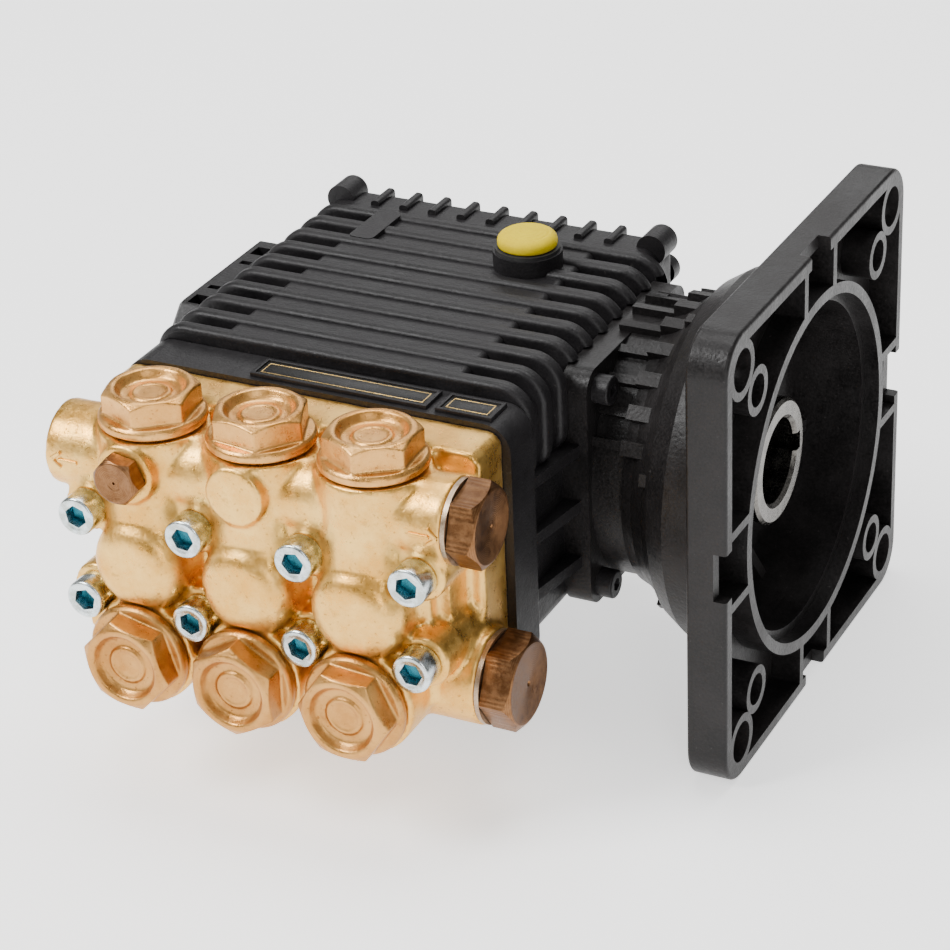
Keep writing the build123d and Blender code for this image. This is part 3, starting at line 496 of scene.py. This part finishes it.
def makeValveCaps():
    look = capShape
    corner = look["flats"] / math.sqrt(3)
    cap = turned("capHex", [(corner, height) for height in look["hexagon"]], sides=6)
    combine(cap, turned("capCrown", look["crown"], 128), "INTERSECT")
    together(cap, [turned("capCollar", look["collar"], 128)])
    forge(cap, look["voxel"], look["softness"])
    places = [((x, dischargeY, capBaseZ), (0, 0)) for x in rowX]
    places += [((x, capBaseY, suctionZ), faceFront[:2]) for x in rowX]
    for index, (place, tilt) in enumerate(places):
        copy = twin(cap, f"valveCap{index + 1}")
        settle(copy, (0, 0, 0), (0, 0, math.radians(look["turns"][index])))
        settle(copy, place, (*tilt, 0))
        # the three front caps take the darker copy of the cap brass, painted shade
        brass = frontCapPaintedShadeBrass if index > 2 else capBrass
        deliver(copy, brass, "valve_caps", angle=look["smoothAngle"])
    bpy.data.objects.remove(cap)


makeValveCaps()
print("valve caps made")


# Head screws: plated socket screws with a coloured hexagon hole
screwShape = {
    "height": 8.0, "seat": 14.8, "socket": 3.85, "socketFloor": 3.9, "socketTurn": 11, "painted": 7.6,
    "edge": 0.12, "turnStep": 37,
    "outline": (
        (3.9, -2.5), (3.9, 0.0), (6.0, 0.02), (6.4, 0.4), (6.4, 7.2), (6.2, 7.7), (5.75, 8.0),
        (4.6, 8.0), (4.2, 7.75), (1.0, 7.75),
    ),
}


def makeHeadScrews():
    look = screwShape
    screw = turned("screwBlank", look["outline"], 64)
    socket = [(look["socket"], look["socketFloor"]), (look["socket"], look["height"] + 1.0)]
    hole = turned("screwHole", socket, sides=6, turn=look["socketTurn"])
    combine(screw, hole, "DIFFERENCE")
    soften(screw, look["edge"], 40)
    shade = screw.data.attributes.new("socket", "FLOAT", "POINT")
    for vertex in screw.data.vertices:
        inside = math.hypot(vertex.co.x, vertex.co.y) < look["socket"] * mm * 1.02 and vertex.co.z > 0
        shade.data[vertex.index].value = 1.0 if inside and vertex.co.z < look["painted"] * mm else 0.0
    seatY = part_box("head_screws")[0][1] + look["height"] * mm
    rows = (look["seat"] * mm, -look["seat"] * mm)
    places = [(x, seatY, z) for x in screwX for z in rows]
    for index, place in enumerate(places):
        copy = twin(screw, f"headScrew{index + 1}")
        settle(copy, (0, 0, 0), (0, 0, math.radians(look["turnStep"] * index)))
        deliver(settle(copy, place, faceFront), screwPlate, "head_screws")
    bpy.data.objects.remove(screw)


makeHeadScrews()
print("head screws made")


# Hexagon plugs with a turned face
plugShape = {
    "discharge_plug": {"flats": 24.0, "height": 9.0, "stub": 7.4, "turn": 12, "facing": faceRight},
    "suction_plug": {"flats": 27.0, "height": 10.0, "stub": 9.1, "turn": 5, "facing": faceRight},
    "gauge_plug": {"flats": 14.0, "height": 5.8, "stub": 4.8, "turn": 20, "facing": faceFront},
}
plugEdge = 0.22


def makePlugs():
    for node, look in plugShape.items():
        low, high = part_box(node)
        along = 0 if look["facing"] == faceRight else 1
        place = middleOf(node)
        place[along] = high[0] - look["height"] * mm if along == 0 else low[1] + look["height"] * mm
        half, top = look["flats"] / 2, look["height"]
        corner = look["flats"] / math.sqrt(3)
        crown = [
            (corner + 0.3, 0.3), (corner + 0.3, top - 2.1), (half, top - 0.3), (half - 0.5, top),
            (half - 1.4, top), (half - 1.8, top - 0.12), (half * 0.35, top - 0.12), (half * 0.32, top - 0.25),
            (half * 0.07, top - 0.25), (half * 0.04, top - 0.8),
        ]
        plug = turned(node + "Turned", [(corner, 0.0), (corner, top + 1)], sides=6)
        combine(plug, turned("plugCrown", crown, 96), "INTERSECT")
        soften(plug, plugEdge, 32)
        stub = [(look["stub"], -6.0), (look["stub"], 0.3), (half - 0.6, 0.3), (half - 0.6, 0.6)]
        together(plug, [turned("plugStub", stub, 64)])
        settle(plug, (0, 0, 0), (0, 0, math.radians(look["turn"])))
        settle(plug, place, look["facing"])
        deliver(plug, latheBronze(node + "Bronze", bronzeLook, place, along), node, angle=28)


makePlugs()
print("plugs made")


# Oil cap: a ridged knob
oilCapShape = {
    "top": 5.2,
    "knob": (
        (6.9, -8.0), (6.9, 0.1), (9.2, 0.12), (9.8, 0.5), (10.0, 1.1), (10.0, 2.2), (9.75, 3.1), (9.1, 3.9),
        (8.2, 4.45), (7.5, 4.7), (7.2, 4.62), (6.9, 4.8), (6.0, 4.95), (5.7, 4.87), (5.4, 5.0), (4.5, 5.1),
        (4.2, 5.02), (3.9, 5.12), (3.0, 5.17), (2.7, 5.1), (2.4, 5.19), (0.8, 5.2),
    ),
}


def makeOilCap():
    knob = turned("oilCapKnob", oilCapShape["knob"], 128)
    base = middleOf("oil_cap")
    base[2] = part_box("oil_cap")[1][2] - oilCapShape["top"] * mm
    deliver(settle(knob, base), capYellow, "oil_cap", "oil_cap_knob", 40)


makeOilCap()
print("oil cap made")


# Pump head: the machined blocks run together as one casting
headShape = {"voxel": 1.1, "softness": 3, "wave": 0.3, "waveSize": 9.0}


def makeHead():
    look = headShape
    casting = wholeCopy("manifold", "headCasting")
    forge(casting, look["voxel"], look["softness"])
    lumps = bpy.data.textures.new("castLumps", "CLOUDS")
    lumps.noise_scale = look["waveSize"] * mm
    wave = look["wave"] * mm
    modify(casting, "DISPLACE", texture=lumps, strength=wave, mid_level=0.5, texture_coords="LOCAL")
    print("head casting has", len(casting.data.polygons), "faces")
    deliver(casting, headBrass, "manifold", angle=60)


makeHead()
print("head cast")


# Flow arrows cast on the discharge port's bosses
arrowShape = {
    "length": 9.5, "stem": 1.3, "barb": 4.32, "barbAngle": 38, "point": 2.5, "proud": 0.7, "root": 1.6,
    "radius": 13.6, "lift": 0.5, "edge": 0.25, "voxel": 0.22, "softness": 3,
    "rightTip": 27.0, "leftTip": 30.0,           # from the outer plunger axes to the arrow tips
}


def makeArrow(name, tipX, side):
    look = arrowShape
    front = dischargeY - look["radius"] * mm
    centreZ = middleOf("discharge_plug")[2] + look["lift"] * mm
    tail = tipX - side * look["length"] * mm
    ys = (front - look["proud"] * mm, front + look["root"] * mm)
    half = look["stem"] / 2 * mm
    xs = sorted((tail, tipX - side * look["point"] * mm))
    stem = bar(name, (xs[0], ys[0], centreZ - half), (xs[1], ys[1], centreZ + half), look["edge"])
    barbs = []
    for way in (-1, 1):
        barb = bar("barb", (-look["barb"] * mm, ys[0], -half), (0, ys[1], half), look["edge"])
        turn = way * math.radians(look["barbAngle"]) + (math.pi if side < 0 else 0)
        settle(barb, (tipX, 0, centreZ), (0, turn, 0))
        barbs.append(barb)
    together(stem, barbs)
    forge(stem, look["voxel"], look["softness"])
    deliver(stem, headBrass, None, angle=60)


makeArrow("flowArrowRight", rowX[2] + arrowShape["rightTip"] * mm, 1)
makeArrow("flowArrowLeft", rowX[0] - arrowShape["leftTip"] * mm, -1)
print("flow arrows made")


# Name plates: blank black plates with a thin gold line, in raised frames
plateShape = {
    "frame": 1.3, "frameHeight": 1.3, "frameRoot": 0.4, "line": 0.45, "lineRoot": 0.3, "margin": 1.1,
    "proud": 0.06, "edge": 0.18, "corner": 0.15, "between": 41.0,
}


def rimmed(name, low, high, width, floor):       # a plate whose middle is sunk inside a rim
    piece = bar(name, low, high)
    bpy.ops.object.mode_set(mode="EDIT")
    bpy.ops.mesh.select_all(action="DESELECT")
    bpy.ops.mesh.select_mode(type="FACE")
    bpy.ops.object.mode_set(mode="OBJECT")
    for face in piece.data.polygons:
        face.select = face.normal.z > 0.9
    bpy.ops.object.mode_set(mode="EDIT")
    bpy.ops.mesh.inset(thickness=width * mm, depth=0)
    bpy.ops.mesh.extrude_region_move(TRANSFORM_OT_translate={"value": (0, 0, -floor * mm)})
    bpy.ops.object.mode_set(mode="OBJECT")
    return soften(piece, plateShape["edge"], 40)


def makeNamePlates():
    look = plateShape
    mesh = nodes["name_plates"].data
    split = rowX[1] + look["between"] * mm       # the gap between the long plate and the small one
    for number, keep in enumerate((lambda x: x < split, lambda x: x > split)):
        corners = [vertex.co for vertex in mesh.vertices if keep(vertex.co.x)]
        low = [min(corner[axis] for corner in corners) for axis in range(3)]
        high = [max(corner[axis] for corner in corners) for axis in range(3)]
        plate = bar(f"namePlate{number + 1}", low, high, look["corner"])
        deliver(plate, plateBlack, "name_plates")
        rim = look["margin"] * mm
        goldLow = [low[0] + rim, low[1] + rim, high[2] - look["lineRoot"] * mm]
        goldHigh = [high[0] - rim, high[1] - rim, high[2] + look["proud"] * mm]
        gold = rimmed(f"plateLine{number + 1}", goldLow, goldHigh, look["line"], look["proud"] + 0.2)
        deliver(gold, plateGold, None)
        wide = look["frame"] * mm
        frameLow = [low[0] - wide, low[1] - wide, low[2] - look["frameRoot"] * mm]
        frameHigh = [high[0] + wide, high[1] + wide, low[2] + look["frameHeight"] * mm]
        width = look["frame"] - 0.05
        frameRim = rimmed(f"plateFrame{number + 1}", frameLow, frameHigh, width, look["frameHeight"])
        deliver(frameRim, caseBlack, None)


makeNamePlates()
print("name plates made")


# Floor, light and camera
view = {
    "azimuth": 27.40, "elevation": 28.145, "roll": -2.433, "distance": 1.0209, "lens": 118.77,
    "target": (-0.10452, -0.0376, -0.00484), "sensor": 36, "nearest": 0.01,
}
studio = {
    "floorSize": 9.0, "paper": (0.86, 0.86, 0.86), "paperShade": (0.80, 0.80, 0.80),
    "glow": 1.15, "sky": 0.34,
    "lamps": (                                   # name, place, size, watts
        ("keyLight", (-1.1, -1.0, 1.4), (0.8, 0.8), 42),
        ("sideLight", (1.0, -1.5, 0.7), (0.35, 1.3), 10),
        ("topLight", (-0.2, 0.35, 1.7), (1.3, 0.8), 25),
        ("backLight", (-0.55, 1.5, 0.95), (1.2, 0.6), 6),
    ),
}


def makeFloor():
    startFresh()
    bpy.ops.mesh.primitive_plane_add(size=studio["floorSize"], location=(0, 0, cadBox[0][2]))
    floor = bpy.context.object
    floor.name = "floor"
    bpy.ops.object.transform_apply(location=True, rotation=True, scale=True)
    finish = Finish("paper")
    soft = finish.between(finish.noise(60, 3), 0.3, 0.7, 0.0, 0.05)
    floor.data.materials.append(finish.surface({
        "Base Color": finish.blend(soft, studio["paper"], studio["paperShade"]), "Roughness": 0.8,
        "Emission Color": (1.0, 1.0, 1.0), "Emission Strength": studio["glow"],
    }))


def softbox(name, place, size, power):
    lamp = bpy.data.lights.new(name, "AREA")
    lamp.shape = "RECTANGLE"
    lamp.size, lamp.size_y = size
    lamp.energy = power
    holder = bpy.data.objects.new(name, lamp)
    holder.location = place
    holder.rotation_euler = (Vector(view["target"]) - Vector(place)).to_track_quat("-Z", "Y").to_euler()
    bpy.context.scene.collection.objects.link(holder)


def makeStudio():
    for lamp in studio["lamps"]:
        softbox(*lamp)
    world = bpy.data.worlds.new("studioSky")
    bpy.context.scene.world = world
    world.use_nodes = True
    sky = world.node_tree.nodes["Background"]
    sky.inputs["Color"].default_value = (1, 1, 1, 1)
    sky.inputs["Strength"].default_value = studio["sky"]


def makeCamera():
    azimuth, elevation, roll = (math.radians(view[key]) for key in ("azimuth", "elevation", "roll"))
    back = Vector((
        math.sin(azimuth) * math.cos(elevation), -math.cos(azimuth) * math.cos(elevation), math.sin(elevation)
    ))
    right = Vector((math.cos(azimuth), math.sin(azimuth), 0))
    turn = Matrix((right, back.cross(right), back)).transposed().to_4x4()
    camera = bpy.data.objects.new("mainCamera", bpy.data.cameras.new("mainCamera"))
    camera.data.lens = view["lens"]
    camera.data.sensor_width = view["sensor"]
    camera.data.clip_start = view["nearest"]
    place = Matrix.Translation(Vector(view["target"]) + back * view["distance"])
    camera.matrix_world = place @ turn @ Matrix.Rotation(roll, 4, "Z")
    bpy.context.scene.collection.objects.link(camera)
    bpy.context.scene.camera = camera


makeFloor()
makeStudio()
makeCamera()
print("studio ready")
